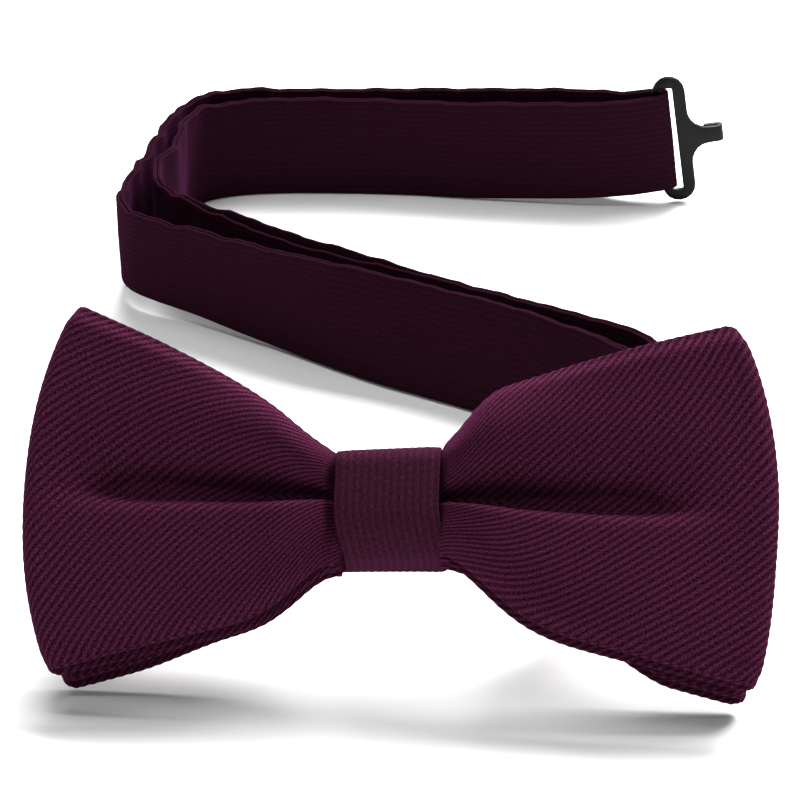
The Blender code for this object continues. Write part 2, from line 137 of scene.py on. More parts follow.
# Linings
LINING = 0.35
LINING_INSET = 1.1
LINING_SHARE = 0.88            # of the bow's height
LINING_SPACING = 1.7
KNOT_LINING = 0.4
KNOT_LINING_INSET = WRAP + 0.3
KNOT_LINING_NARROWER = 0.8

# Neck band and its two ends
BAND = 20.5
BAND_T = 1.6
BAND_LEAF = 0.7                # thickness of one of the two leaves at the upper edge
MID = BAND / 2
CORNER = Vector((-38.0, 119.0, 10.0))
CORNER_LEAN = 2.0
WALL_LEAN = 16.0
KNOT_SHARE = 0.58              # of the band's height behind the knot
KNOT_LEAVES = 17.0             # how far along the band it leaves the knot's shape
BEND = Vector((-52.0, 130.0, MID))      # where the band is creased to less than its full height
BEND_LOW = 0.19
BEND_LIFT = 0.55               # share of the missing height that is missing below
PUFF_MIDDLE = Vector((-17.0, 112.5, MID))
PUFF_THICK = 2.5
CRUMPLED_X = -44.0
CRUMPLED_OVER = 14.0
BAND_BEHIND = 5.9
BEND_R = 1.7                   # of a strap's fold round a bar
ROUTE_STEP = 1.6
LIFT = 2.7                     # of the band at the slider and the hook, off the floor
SLIDE_MID = Vector((38.1, 36.8, MID + LIFT))
SLIDE_DIR = Vector((0.256, 0.967, 0.0)).normalized()
SLIDE_OUT = Vector((0.967, -0.256, 0.0)).normalized()
MIDDLE_BAR = -3.3              # of the slider, in its own frame
TAB_T = 1.2
TAB_LEAF = 0.5
TAB_R = 0.9 + TAB_T / 2
TAB_END = 11.0
HOOK_AT = Vector((53.9, 174.8, MID + LIFT + 0.3))
HOOK_TILT = 8.0
EYE_AT = Vector((-38.0, 4.3, 0.0))
HALF_TURN = [math.radians(a) for a in range(0, 181, 10)]

# Stitches
STITCH = 1.4
STITCH_APART = 1.8
STITCH_R = 0.2


def smooth(x):
    x = np.clip(x, 0.0, 1.0)
    return x * x * (3 - 2 * x)


def along(values, s):
    """A smooth curve through one value at each station of a wing."""
    made = np.full(np.shape(s), values[0], float)
    for i in range(len(STATIONS) - 1):
        step = smooth((s - STATIONS[i]) / (STATIONS[i + 1] - STATIONS[i]))
        made += (values[i + 1] - values[i]) * step
    return made


# Materials
def shader_of(name, colour, roughness):
    made = bpy.data.materials.new(name)
    made.use_nodes = True
    shader = made.node_tree.nodes["Principled BSDF"]
    shader.inputs["Base Color"].default_value = (*colour, 1.0)
    shader.inputs["Roughness"].default_value = roughness
    return made, made.node_tree, shader


def math_node(tree, operation, first, second):
    node = tree.nodes.new("ShaderNodeMath")
    node.operation = operation
    for socket, value in zip(node.inputs, (first, second)):
        if isinstance(value, float):
            socket.default_value = value
        else:
            tree.links.new(value, socket)
    return node.outputs[0]


def noise(tree, vector, scale, detail):
    node = tree.nodes.new("ShaderNodeTexNoise")
    node.inputs["Scale"].default_value = scale
    node.inputs["Detail"].default_value = detail
    tree.links.new(vector, node.inputs["Vector"])
    return node.outputs["Fac"]


def ramp(tree, factor, stops):
    node = tree.nodes.new("ShaderNodeValToRGB")
    while len(node.color_ramp.elements) < len(stops):
        node.color_ramp.elements.new(0.5)
    for element, (at, colour) in zip(node.color_ramp.elements, stops):
        element.position = at
        element.color = (*colour, 1.0)
    tree.links.new(factor, node.inputs["Fac"])
    return node.outputs["Color"]


def emboss(tree, shader, height, strength, distance):
    node = tree.nodes.new("ShaderNodeBump")
    node.inputs["Strength"].default_value = strength
    node.inputs["Distance"].default_value = distance
    tree.links.new(height, node.inputs["Height"])
    tree.links.new(node.outputs["Normal"], shader.inputs["Normal"])


def satin(name, groove_shade, crest, contrast, spread, bump):
    """Ribbed satin, its colour with painted shade in the rib grooves and painted highlights on the
    rib crests and yarn glints. Its map holds mm: across the ribs, and along them.
    """
    made, tree, shader = shader_of(name, crest, 0.5)
    cloth_map = tree.nodes.new("ShaderNodeUVMap")
    cloth_map.uv_map = "cloth"
    parts = tree.nodes.new("ShaderNodeSeparateXYZ")
    tree.links.new(cloth_map.outputs["UV"], parts.inputs[0])
    across, lengthwise = parts.outputs["X"], parts.outputs["Y"]
    rib = math_node(tree, "COSINE", math_node(tree, "MULTIPLY", across, 2 * math.pi / PITCH), 0.0)
    stretched = tree.nodes.new("ShaderNodeCombineXYZ")
    tree.links.new(math_node(tree, "MULTIPLY", across, 2.6), stretched.inputs["X"])
    tree.links.new(math_node(tree, "MULTIPLY", lengthwise, 1.5), stretched.inputs["Y"])
    yarn_and_glint = noise(tree, stretched.outputs[0], 1.6, 3.0)
    shade = math_node(tree, "ADD", math_node(tree, "MULTIPLY", rib, contrast), yarn_and_glint)
    # painted shade and highlights: the rib grooves take the dark groove colour, and where rib and
    # yarn noise are highest the colour rises to 2.2 times the crest colour, as painted glints
    stops = ((0.5 - spread, groove_shade), (0.5 + 0.4 * spread, crest),
             (0.5 + 1.5 * spread, tuple(2.2 * c for c in crest)))
    tree.links.new(ramp(tree, shade, stops), shader.inputs["Base Color"])
    relief = math_node(tree, "ADD", math_node(tree, "MULTIPLY", rib, 0.5),
                       math_node(tree, "MULTIPLY", yarn_and_glint, 0.8))
    emboss(tree, shader, relief, bump, 0.00016)
    shader.inputs["Specular IOR Level"].default_value = 0.0
    shader.inputs["Sheen Weight"].default_value = 0.06
    shader.inputs["Sheen Roughness"].default_value = 0.4
    shader.inputs["Sheen Tint"].default_value = (0.55, 0.12, 0.5, 1.0)
    return made


def fibre(name, colour, dark, scale, roughness, distance):
    """Matt fibres or thread, with grain from the object's own place."""
    made, tree, shader = shader_of(name, colour, roughness)
    place = tree.nodes.new("ShaderNodeTexCoord")
    grain = noise(tree, place.outputs["Object"], scale, 4.0)
    tree.links.new(ramp(tree, grain, ((0.3, dark), (0.7, colour))), shader.inputs["Base Color"])
    emboss(tree, shader, grain, 0.6, distance)
    return made


def lacquer(name):
    """Black lacquered steel with a faint orange peel and rubbed patches."""
    made, tree, shader = shader_of(name, (0.003, 0.0035, 0.0032), 0.34)
    place = tree.nodes.new("ShaderNodeTexCoord")
    peel = noise(tree, place.outputs["Object"], 900.0, 2.0)
    rubbed = noise(tree, place.outputs["Object"], 260.0, 5.0)
    stops = ((0.35, (0.002, 0.0025, 0.0022)), (0.75, (0.005, 0.006, 0.0055)))
    tree.links.new(ramp(tree, rubbed, stops), shader.inputs["Base Color"])
    emboss(tree, shader, peel, 0.25, 0.00005)
    shader.inputs["Specular IOR Level"].default_value = 0.1
    return made


# Each satin's groove colour is painted shade in the rib grooves, and its brightest stop holds
# painted glints; the crest colour is the cloth's own.
SATIN = satin("satin_ribbed", groove_shade=(0.0060, 0.0022, 0.0032), crest=(0.058, 0.0110, 0.0300),
              contrast=0.11, spread=0.2, bump=0.7)
KNOT_SATIN = satin("satin_ribbed_knot", groove_shade=(0.011, 0.0034, 0.0056),
                   crest=(0.046, 0.0105, 0.0245), contrast=0.07, spread=0.3, bump=0.5)
# painted shade: this satin is the bow's at about a third of its brightness, darkened for the band,
# short strap and slider tab, whose faces turn away from the key light
SHADED_BAND_SATIN = satin("satin_ribbed_band_shaded", groove_shade=(0.0055, 0.0018, 0.0030),
                   crest=(0.020, 0.0050, 0.0108), contrast=0.05, spread=0.32, bump=0.3)
FIBRE = fibre("interlining_fibre", colour=(0.03, 0.012, 0.022), dark=(0.015, 0.006, 0.011),
              scale=900.0, roughness=0.95, distance=0.0001)
THREAD = fibre("sewing_thread", colour=(0.05, 0.01, 0.035), dark=(0.02, 0.004, 0.014),
               scale=2500.0, roughness=0.7, distance=0.00006)
METAL = lacquer("black_lacquer")


# Pieces
def add(name, mesh, look, body, slot, *nodes):
    mesh.materials.clear()
    mesh.materials.append(look)
    for polygon in mesh.polygons:
        polygon.use_smooth = True
    obj = bpy.data.objects.new(name, mesh)
    bpy.context.scene.collection.objects.link(obj)
    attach(obj, body)
    if nodes:
        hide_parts(*nodes)
    return obj


def grid_mesh(name, points, cloth_map, closed_rows):
    """A surface through rows of points in mm. Each row is closed, and the rows too if so asked;
    otherwise both ends are capped. The map has one more column, and one more row if closed."""
    rows, columns = points.shape[:2]
    row = np.arange(rows if closed_rows else rows - 1)[:, None]
    column = np.arange(columns)[None, :]
    corners = ((row, column), (row, column + 1), (row + 1, column + 1), (row + 1, column))
    faces = np.stack([(r % rows) * columns + c % columns for r, c in corners], axis=-1)
    mapped = np.stack([cloth_map[r, c] for r, c in corners], axis=2).reshape(-1, 2)
    count = faces.shape[0] * faces.shape[1]
    mesh = bpy.data.meshes.new(name)
    mesh.vertices.add(rows * columns)
    mesh.vertices.foreach_set("co", (points * MM).astype(np.float32).ravel())
    caps = 0 if closed_rows else 2
    loops = np.concatenate([faces.ravel()] + ([] if closed_rows else [
        np.arange(columns)[::-1], np.arange(columns) + (rows - 1) * columns]))
    mesh.loops.add(len(loops))
    mesh.loops.foreach_set("vertex_index", loops.astype(np.int32))
    mesh.polygons.add(count + caps)
    starts = np.concatenate([np.arange(count) * 4, count * 4 + columns * np.arange(caps)])
    mesh.polygons.foreach_set("loop_start", starts.astype(np.int32))
    mesh.update(calc_edges=True)
    layer = mesh.uv_layers.new(name="cloth")
    flat = np.zeros((len(loops), 2), np.float32)
    flat[:count * 4] = mapped
    layer.data.foreach_set("uv", flat.ravel())
    mesh.validate()
    return mesh


def unit(vectors):
    return vectors / np.maximum(np.linalg.norm(vectors, axis=-1, keepdims=True), 1e-9)


def placed(points, matrix):
    turn = np.array(matrix.to_3x3())
    return points @ turn.T + np.array(matrix.translation)


def cloth_loop(name, surface, matrix, thick, slope, inner_rows, rib_height=RIB):
    """A closed loop of ribbed cloth. slope says how many steps of a rib a row and a column are."""
    rows, columns = surface.shape[:2]
    ahead = np.roll(surface, -1, 0) - np.roll(surface, 1, 0)
    up = np.gradient(surface, axis=1)
    outward = unit(np.cross(ahead, up))
    up = unit(up - outward * (up * outward).sum(-1, keepdims=True))
    i = np.arange(rows)[:, None]

    def rib(j):
        return rib_height * np.cos(math.pi / 2 * (slope[0] * i + slope[1] * j))[..., None]

    def rolled(edge, turn, j):
        """A row of points round the cloth's edge."""
        middle = surface[:, edge] - outward[:, edge] * thick / 2
        aside = outward[:, edge] * math.cos(turn) + up[:, edge] * math.sin(turn)
        return (middle + aside * (thick / 2 + rib(j)[:, 0]))[:, None]

    j = np.arange(columns)
    last = columns - 1
    kept = np.linspace(last, 0, inner_rows).round().astype(int)
    turns = [math.radians(a) for a in (45, 90, 135)]
    pieces = [surface + outward * rib(j[None, :])]
    pieces += [rolled(last, a, np.array([last + 1 + k])) for k, a in enumerate(turns)]
    pieces.append((surface - outward * thick)[:, kept])
    pieces += [rolled(0, a + math.pi, np.array([-3 + k])) for k, a in enumerate(turns)]
    points = np.concatenate(pieces, axis=1)
    steps = np.concatenate([j, last + 1 + np.arange(3), 2 * last + 4 - kept,
                            2 * last + 5 + np.arange(3), [2 * last + 8]]).astype(float)
    i_all = np.arange(rows + 1)[:, None]
    cloth_map = np.stack([STEP * (slope[0] * i_all + slope[1] * steps[None, :]),
                          STEP * (i_all - slope[1] * slope[0] * steps[None, :])], axis=-1)
    return grid_mesh(name, placed(points, matrix), cloth_map, True)


# Bow loops
def edge_height(edge, s, length):
    height = edge.corner - edge.rise * (length - edge.inset - s)
    height = height - edge.pinch * np.exp(-(((s - WAIST_EDGE) / edge.reach) ** 2))
    return WAIST_H + (height - WAIST_H) * smooth((s - edge.opens) / edge.over)


def wing_points(wing, rear, back, s, q):
    """Points of a bow's outer surface, on its front or its back."""
    side = wing.side
    v = q * np.where(q > 0, edge_height(wing.top, s, wing.length),
                     edge_height(wing.bottom, s, wing.length))
    valley = np.exp(-((q / np.where(q > 0, *VALLEY_WIDE)) ** 2))
    crease = np.exp(-((q / np.where(q > 0, *CREASE_WIDE)) ** 2))
    wave = np.exp(-((q / WAVE_WIDE) ** 2))
    tuck = np.maximum(0.0, np.abs(q) - TUCK_FROM) ** 2 / TUCK_UNIT
    if rear:
        if back:
            w = along(REAR_BACK, s) - along(REAR_BACK_WAVE, s) * wave
        else:
            w = along(REAR_CREST, s) - along(REAR_WAVE, s) * wave
        v = v - REAR_DROP * smooth((s - 20.0) / 36.0)
        lifted = smooth((s - 9.0) / 9.0) * (1 - smooth((s - wing.lift_to) / wing.lift_fade))
        v = v + wing.rear_lift * np.maximum(0.0, -q) * lifted
    elif back:
        w = along(FRONT_BACK, s) - along(FRONT_BACK_WAVE, s) * wave
    else:
        puff = np.exp(-(((s - PUFF_AT) / PUFF_OVER) ** 2))
        w = along(FRONT_CREST, s) - along(FRONT_VALLEY, s) * valley - PUFF_TUCK * puff * tuck
        starts, over, middle, reach = PLEAT_NEAR
        near = smooth((s - starts) / over) * np.exp(-(((s - middle) / reach) ** 2))
        w = w + near * (PLEAT_UP * (1 - tuck / 1.6) - PLEAT_DOWN * crease)
        # small gathers beside the knot, the far crease, unevenness, and the curled hems
        w = w + 0.22 * near * np.sin(9.0 * q + side) * (1 - valley)
        far = smooth((s - 14.0) / 8.0) * (1 - smooth((s - 38.0) / 13.0))
        w = w - PLEAT_DOWN_FAR * far * crease
        w = w + 0.16 * np.sin(0.21 * s + 3.1 * q + side) * np.sin(0.13 * s - 4.3 * q)
        w = w - HEM_TUCK * smooth((np.abs(q) - 0.86) / 0.14) ** 2 * smooth((s - 10.0) / 6.0)
        behind = along(FRONT_BACK, s) - along(FRONT_BACK_WAVE, s) * wave
        w = np.maximum(w, behind + LEAST_APART)
    return np.stack([side * s, -w, v], axis=-1)


def bow_surface(rear, widest=1.0, spacing=STEP * math.sqrt(2)):
    """Rows of points round one bow's loop, by default a quarter of a slanting rib apart."""
    q = np.linspace(-widest, widest, round(2 * STRIP_HALF / spacing) + 1)[None, :]
    halves = []
    for wing in (RIGHT, LEFT):
        length = wing.length - (REAR_SHORTER if rear else 0.0)
        end = length - np.where(q > 0, wing.top.inset, wing.bottom.inset) * q * q - FOLD_R
        count = round((length - FOLD_R) / spacing)
        flat = np.linspace(0, length - FOLD_R, count + 1)[:, None]
        stretch = (end - WAIST_FLAT) / (length - FOLD_R - WAIST_FLAT)
        s = np.where(flat < WAIST_FLAT, flat, WAIST_FLAT + (flat - WAIST_FLAT) * stretch)
        q_all = np.broadcast_to(q, s.shape)
        front = wing_points(wing, rear, False, s, q_all)
        back = wing_points(wing, rear, True, s, q_all)
        middle = (front[-1] + back[-1]) / 2
        half = (front[-1] - back[-1]) / 2
        radius = np.linalg.norm(half, axis=-1, keepdims=True)
        flat_end = wing.end_fold * (1 - 0.2 * q_all[-1] ** 4)
        outward = np.array([wing.side, 0.0, 0.0]) * radius * flat_end[:, None]
        turns = np.linspace(0, math.pi, 21)[1:-1]
        arc = np.stack([middle + half * math.cos(a) + outward * math.sin(a) for a in turns])
        halves.append(np.concatenate([front, arc, back[::-1]]))
    right, left = halves
    around = np.concatenate([right[:-1], left[::-1][:-1]])
    # rows are left out beside the waist's back so that the ribs meet where the loop closes
    spare = len(around) % 4
    keep = np.ones(len(around), bool)
    keep[len(right) - 2 - spare:len(right) - 2] = False
    return around[keep]


def bow(name, rear):
    mesh = cloth_loop(name, bow_surface(rear), BOW, BOW_CLOTH, BOW_SLANT, INNER_POINTS)
    return add(name, mesh, SATIN, "bow_and_band", "satin", name + "_shell")


def bow_lining(name, rear):
    surface = bow_surface(rear, LINING_SHARE, LINING_SPACING)
    ahead = np.roll(surface, -1, 0) - np.roll(surface, 1, 0)
    outward = unit(np.cross(ahead, np.gradient(surface, axis=1)))
    mesh = cloth_loop(name + "_lining", surface - outward * LINING_INSET, BOW, LINING, BOW_SLANT,
                      9, 0.0)
    add(name + "_lining", mesh, FIBRE, "bow_and_band", "interlining", name + "_interlining")


front_bow = bow("front_bow", False)
rear_bow = bow("rear_bow", True)
bow_lining("front_bow", False)
bow_lining("rear_bow", True)


# Knot
def knot_surface(inset, narrower, columns):
    """Rows of points round the knot, going down its front."""
    ring = []
    corners = ((KNOT_FRONT, KNOT_HALF, KNOT_ROUND_TOP, 90),
               (KNOT_FRONT, -KNOT_HALF, KNOT_ROUND_LOW, 0),
               (-KNOT_BACK, -KNOT_HALF, KNOT_ROUND_BACK, -90),
               (-KNOT_BACK, KNOT_HALF, KNOT_ROUND_BACK, -180))
    for w, v, radius, start in corners:
        middle = (w - math.copysign(radius, w), v - math.copysign(radius, v))
        for k in range(13):
            angle = math.radians(start - 90 * k / 12)
            ring.append((middle[0] + (radius - inset) * math.cos(angle),
                         middle[1] + (radius - inset) * math.sin(angle)))
    ring = np.array(ring + ring[:1])
    gone = np.concatenate([[0], np.cumsum(np.linalg.norm(np.diff(ring, axis=0), axis=1))])
    even = np.linspace(0, gone[-1], KNOT_ROWS, endpoint=False)
    w = np.interp(even, gone, ring[:, 0])[:, None]
    v = np.interp(even, gone, ring[:, 1])[:, None]
    share = np.linspace(-1, 1, columns)[None, :]
    front = smooth((w + 8.4) / 5.0)
    from_middle = (v / KNOT_HALF) ** 2
    over_all, *corner = KNOT_RIGHTWARDS_LEFT
    left = -KNOT_HALF_W + front * (over_all + from_middle * np.where(v > 0, *corner))
    over_all, *corner = KNOT_RIGHTWARDS_RIGHT
    right = KNOT_HALF_W + front * (over_all + from_middle * np.where(v > 0, *corner))
    x = (left + right) / 2 + (right - left - 2 * narrower) / 2 * share
    bulge = 0.35 * np.cos(math.pi / 2 * v / KNOT_HALF) * front
    side_roll = 0.45 * np.abs(share) ** 8 * smooth((w - 2.0) / 4.0)
    fold_line = 0.16 * np.exp(-(((share - 0.9) / 0.03) ** 2)) * front
    w = w + bulge - side_roll - fold_line
    v = v + KNOT_ROLL * x * front
    return np.stack([x, -w, np.broadcast_to(v - KNOT_LOW, x.shape)], axis=-1)


knot_columns = round(2 * KNOT_HALF_W / STEP) + 1
knot_mesh = cloth_loop("knot", knot_surface(0.0, 0.0, knot_columns), BOW, WRAP, (0, 1), 9,
                       KNOT_RIB)
knot = add("knot", knot_mesh, KNOT_SATIN, "bow_and_band", "satin", "knot_wrap")
lining_mesh = cloth_loop("knot_lining", knot_surface(KNOT_LINING_INSET, KNOT_LINING_NARROWER, 15),
                         BOW, KNOT_LINING, (0, 1), 5)
add("knot_lining", lining_mesh, FIBRE, "bow_and_band", "interlining", "knot_interlining")


# Straps
def smooth_route(points, spacing):
    """Points every so many mm on a smooth curve through the route's own points."""
    route = []
    ends = [points[0] * 2 - points[1]] + points + [points[-1] * 2 - points[-2]]
    for i in range(1, len(ends) - 2):
        before, start, end, after = ends[i - 1:i + 3]
        count = max(1, round((end - start).length / spacing))
        for k in range(count):
            t = k / count
            route.append(0.5 * (2 * start + (end - before) * t
                                + (2 * before - 5 * start + 4 * end - after) * t ** 2
                                + (3 * start - before - 3 * end + after) * t ** 3))
    route.append(points[-1])
    return route


def length_of(route):
    return sum((b - a).length for a, b in zip(route, route[1:]))


def strap(name, route, leans, shares, thick, leaf, matrix, wavy):
    """A pressed strap on edge: cloth folded along its lower edge, its two leaves open at the top.
    Each point of the route has a lean in degrees, a share of the full height and a thickness."""
    path = np.array([tuple(p) for p in route])
    gone = np.concatenate([[0], np.cumsum(np.linalg.norm(np.diff(path, axis=0), axis=1))])[:, None]
    ahead = unit(np.gradient(path, axis=0))
    rise = unit(np.array([0.0, 0.0, 1.0]) - ahead * ahead[:, 2:3])
    lean = np.radians(np.array(leans))[:, None]
    up = unit(rise * np.cos(lean) - np.cross(ahead, rise) * np.sin(lean))
    aside = np.cross(up, ahead)
    thick = np.array(thick)[:, None]
    share = np.array(shares)[:, None]
    count = round(BAND / STEP)
    heights = np.linspace(-1, 1, count + 1)[None, 1:-1]
    rib = STRAP_RIB * np.cos(math.pi / 2 * np.arange(1, count))[None, :]
    belly = thick / 2 * (0.72 + 0.28 * smooth((heights + 1) / 1.2)) + rib
    # round the tip of the outer leaf, and down into the groove between the leaves
    lip = []
    for a in (20, 65, 110, 155):
        turn = math.radians(a)
        lip.append((thick / 2 - leaf / 2 + leaf / 2 * math.cos(turn),
                    1 + (leaf / 2 * math.sin(turn) - leaf / 2) / MID + 0 * thick))
    open_half = np.maximum(thick / 2 - leaf, 0.07)
    deep = np.minimum(0.9 + 2.2 * (thick - BAND_T), 9.0) / MID
    for k in range(4):
        lip.append((open_half * (1 - 0.25 * k / 3),
                    1 - leaf / 2 / MID - deep * (0.15 + 0.85 * k / 3)))
    lip_x = np.concatenate([x for x, _ in lip], axis=1)
    lip_z = np.concatenate([z for _, z in lip], axis=1)
    foot = [(0.46, -0.985), (0.0, -1.0), (-0.46, -0.985)]
    foot_x = np.concatenate([thick / 2 * x for x, _ in foot], axis=1)
    foot_z = np.concatenate([z + 0 * thick for _, z in foot], axis=1)
    spread = np.broadcast_to(heights, belly.shape)
    x = np.concatenate([belly, lip_x, -lip_x[:, ::-1], -belly[:, ::-1], foot_x[:, ::-1]], axis=1)
    z = np.concatenate([spread, lip_z, lip_z[:, ::-1], spread[:, ::-1], foot_z[:, ::-1]], axis=1)
    # small waves, which grow towards the upper edge and near the left bend
    top = np.clip((z + 1) / 2, 0, 1) ** 2
    crumpled = 1 + 1.8 * np.exp(-(((path[:, :1] - CRUMPLED_X) / CRUMPLED_OVER) ** 2))
    z = z + wavy * top * (0.014 * np.sin(gone / 6.1) + 0.010 * crumpled * np.sin(gone / 1.9 + 1.0)
                          + 0.008 * crumpled * np.sin(gone / 0.83 + np.sin(gone / 7.0)))
    x = x + wavy * top * (0.16 * np.sin(gone / 5.3 + 2.0)
                          + 0.10 * crumpled * np.sin(gone / 1.4 + np.sin(gone / 9.0)))
    points = (path[:, None] + aside[:, None] * x[..., None]
              + up[:, None] * (z * MID * share)[..., None])
    steps = np.concatenate([np.arange(1, count), count + np.arange(2 * len(lip)),
                            np.arange(1, count)[::-1], [0, -1, -2, -3]]).astype(float) * STEP
    length = np.broadcast_to(gone, (len(path), len(steps)))
    cloth_map = np.stack([np.broadcast_to(steps, length.shape), length], axis=-1)
    return grid_mesh(name, placed(points, matrix), cloth_map, False)


def behind(u, w, v=0.0):
    """A point given in the bow's own frame, before the whole is shifted."""
    return BOW @ Vector((u, -w, v)) - SHIFT


def slider_point(p, q):
    return SLIDE_MID + SLIDE_DIR * p + SLIDE_OUT * q


def hook_side(p, q):
    return HOOK_AT + Vector((p, q, math.tan(math.radians(HOOK_TILT)) * p))


def level(x, y, lift=0.0):
    return Vector((x, y, MID + lift))


# The band's way: from behind the knot through the slider, round the S and through the hook, and
# back along its own inner side to the slider
knot_end = [behind(-8.2, -BAND_BEHIND), behind(0.0, -BAND_BEHIND), behind(8.6, -BAND_BEHIND)]
leaving = [behind(14.0, -8.4, 0.6), behind(20.0, -11.0, 0.4), Vector((29.0, 10.6, 16.6))]
outer_way = [slider_point(p, 0) for p in (-16, -8, 0, 8, 16)]
outer_way += [level(*place) for place in (
    (43.4, 58.5, 1.4), (42.6, 63.2, 0.7), (39.2, 67.6, 0.2), (30.0, 74.4),
    (19.4, 82.7, -0.15), (7.5, 90.3, -0.15), (-3.0, 96.2), (-15.0, 103.7), (-27.0, 111.8),
    (-36.0, 118.0), (-44.0, 122.8), (-48.6, 126.8), (-50.6, 132.0), (-50.3, 138.5),
    (-48.6, 145.6), (-46.6, 153.0), (-45.2, 161.0), (-43.2, 170.0), (-40.0, 177.0),
    (-35.6, 181.6), (-29.6, 183.6),
    (-18.0, 183.6), (2.0, 183.9), (16.0, 183.1, 0.2), (36.0, 181.0, 1.2))]
outer_way.append(hook_side(-6.5, 1.9))
fold = [hook_side(BEND_R * math.sin(a), BEND_R * math.cos(a)) for a in HALF_TURN]
inner_way = [hook_side(-6.5, -2.0)]
inner_way += [level(*place) for place in (
    (41.0, 172.9, 1.6), (34.0, 173.6, 1.1), (16.4, 175.9, 0.2), (2.1, 178.0), (-18.0, 178.8),
    (-30.0, 177.6), (-37.2, 174.2), (-40.4, 168.2), (-41.0, 160.0), (-41.9, 154.0),
    (-44.0, 149.0), (-44.6, 143.5), (-43.2, 137.4), (-39.6, 131.6), (-34.0, 126.2),
    (-27.4, 121.0), (-15.0, 110.6), (7.5, 96.5), (19.7, 89.0), (30.6, 81.6, 0.2),
    (40.6, 74.6, 0.6), (45.0, 70.8, 0.8), (46.9, 65.6, 1.2))]
inner_way += [slider_point(p, q) for p, q in ((24, 4.9), (18, 6.3), (12, 6.6), (7.5, 6.6))]

outer_route = smooth_route(knot_end + leaving + outer_way, ROUTE_STEP)
inner_route = smooth_route(inner_way, ROUTE_STEP)

# It leans and narrows with the waist behind the knot, and leans back where the wing hides it
outer_leans = []
outer_shares = []
gone = 0.0
for k, place in enumerate(outer_route):
    gone += (place - outer_route[k - 1]).length if k else 0.0
    corner = (place - CORNER).length
    behind_wing = float(smooth((place.x + 24.0) / 32.0) * smooth((place.y - 62.0) / 12.0))
    wall = behind_wing * (1 - float(smooth((place.y - 110.0) / 12.0)))
    outer_leans.append(LEAN * (1 - float(smooth((gone - KNOT_LEAVES) / 26.0)))
                       + CORNER_LEAN * math.exp(-((corner / 22.0) ** 2)) - WALL_LEAN * wall)
    low = BEND_LOW * math.exp(-(((place - BEND).length / 30.0) ** 2))
    place.z += BEND_LIFT * low * MID
    spread = float(smooth((gone - KNOT_LEAVES) / 10.0))
    outer_shares.append(KNOT_SHARE + (1 - KNOT_SHARE) * spread - low)
fold_leans = [-HOOK_TILT * math.sin(a) for a in HALF_TURN]
inner_thick = [BAND_T + PUFF_THICK * math.exp(-(((place - PUFF_MIDDLE).length / 21.0) ** 4))
               for place in inner_route]
band_route = outer_route + fold + inner_route
band_thick = [BAND_T] * (len(outer_route) + len(fold)) + inner_thick
band_mesh = strap("band", band_route, outer_leans + fold_leans + [0.0] * len(inner_route),
                  outer_shares + [1.0] * (len(fold) + len(inner_route)), band_thick, BAND_LEAF,
                  Matrix.Translation(SHIFT), wavy=1.0)
band = add("band", band_mesh, SHADED_BAND_SATIN, "bow_and_band", "satin", "neck_band")
band_length = length_of(band_route)

SHORT = Matrix.Translation(behind(-9.4, -BAND_BEHIND) + SHIFT) @ BOW.to_3x3().to_4x4()
short_route = smooth_route([Vector((-0.9, 0, 0)), Vector((-4.0, 1.6, 0)), Vector((-9.5, 4.9, 0)),
                            Vector((-20.0, 6.1, 0)), Vector((-30.0, 6.1, 0))], ROUTE_STEP)
short_route += [EYE_AT + Vector((-BEND_R * math.sin(a), BEND_R * math.cos(a), 0))
                for a in HALF_TURN]
short_route += [EYE_AT + Vector((3.0, -1.6, 0)), EYE_AT + Vector((8.0, -0.4, 0))]
short_shares = [min(1.0, 0.72 - place.x / 30.0) for place in short_route]
short_mesh = strap("short_strap_cloth", short_route, [0.0] * len(short_route), short_shares,
                   [BAND_T] * len(short_route), BAND_LEAF, SHORT, wavy=0.0)
short = add("short_strap_cloth", short_mesh, SHADED_BAND_SATIN, "short_strap", "satin", "short_strap")
short_length = length_of(short_route)

SLIDE = (Matrix.Translation(SLIDE_MID + SHIFT)
         @ Matrix.Rotation(math.atan2(SLIDE_DIR.y, SLIDE_DIR.x), 4, "Z"))
tab_route = [Vector((x, MIDDLE_BAR + TAB_R, 0)) for x in (TAB_END, 6.0, 2.0)]
tab_route += [Vector((-TAB_R * math.sin(a), MIDDLE_BAR + TAB_R * math.cos(a), 0))
              for a in HALF_TURN]
tab_route += [Vector((x, MIDDLE_BAR - TAB_R, 0)) for x in (2.0, 6.0)]
tab_route.append(Vector((TAB_END, MIDDLE_BAR - TAB_R + 0.3, 0)))
tab_mesh = strap("slider_tab_cloth", tab_route, [0.0] * len(tab_route), [1.0] * len(tab_route),
                 [TAB_T] * len(tab_route), TAB_LEAF, SLIDE, wavy=0.0)
tab = add("slider_tab_cloth", tab_mesh, SHADED_BAND_SATIN, "slider", "satin", "slider_tab")
tab_length = length_of(tab_route)


# Stitches
def row(x, y, lowest, count):
    return [Vector((x, y, lowest + STITCH_APART * k)) for k in range(count)]


def stitches(name, places, matrix, body, node):
    """Short rounded stitches of thread, each upright."""
    shape = bmesh.new()
    for place in places:
        at = Matrix.Translation(place) @ Matrix.Diagonal((STITCH_R, STITCH_R, STITCH / 2, 1.0))
        bmesh.ops.create_uvsphere(shape, u_segments=10, v_segments=8, radius=1.0, matrix=at)
    mesh = bpy.data.meshes.new(name)
    shape.to_mesh(mesh)
    shape.free()
    mesh.transform(matrix)
    mesh.transform(Matrix.Scale(MM, 4))
    add(name, mesh, THREAD, body, "thread", node)


stitches("knot_seam_stitches", row(2.0, KNOT_BACK + 0.1, -5.4, 7), BOW, "bow_and_band",
         "knot_seam_stitch")
stitches("short_strap_stitches", row(-31.5, 6.95, -8.1, 10), SHORT, "short_strap",
         "short_strap_stitch")
stitches("slider_tab_stitches",
         row(8.0, MIDDLE_BAR + (TAB_R + TAB_T / 2), -8.1, 10)
         + row(8.0, MIDDLE_BAR + (0.1 - TAB_R - TAB_T / 2), -8.1, 10),
         SLIDE, "slider", "slider_tab_stitch")


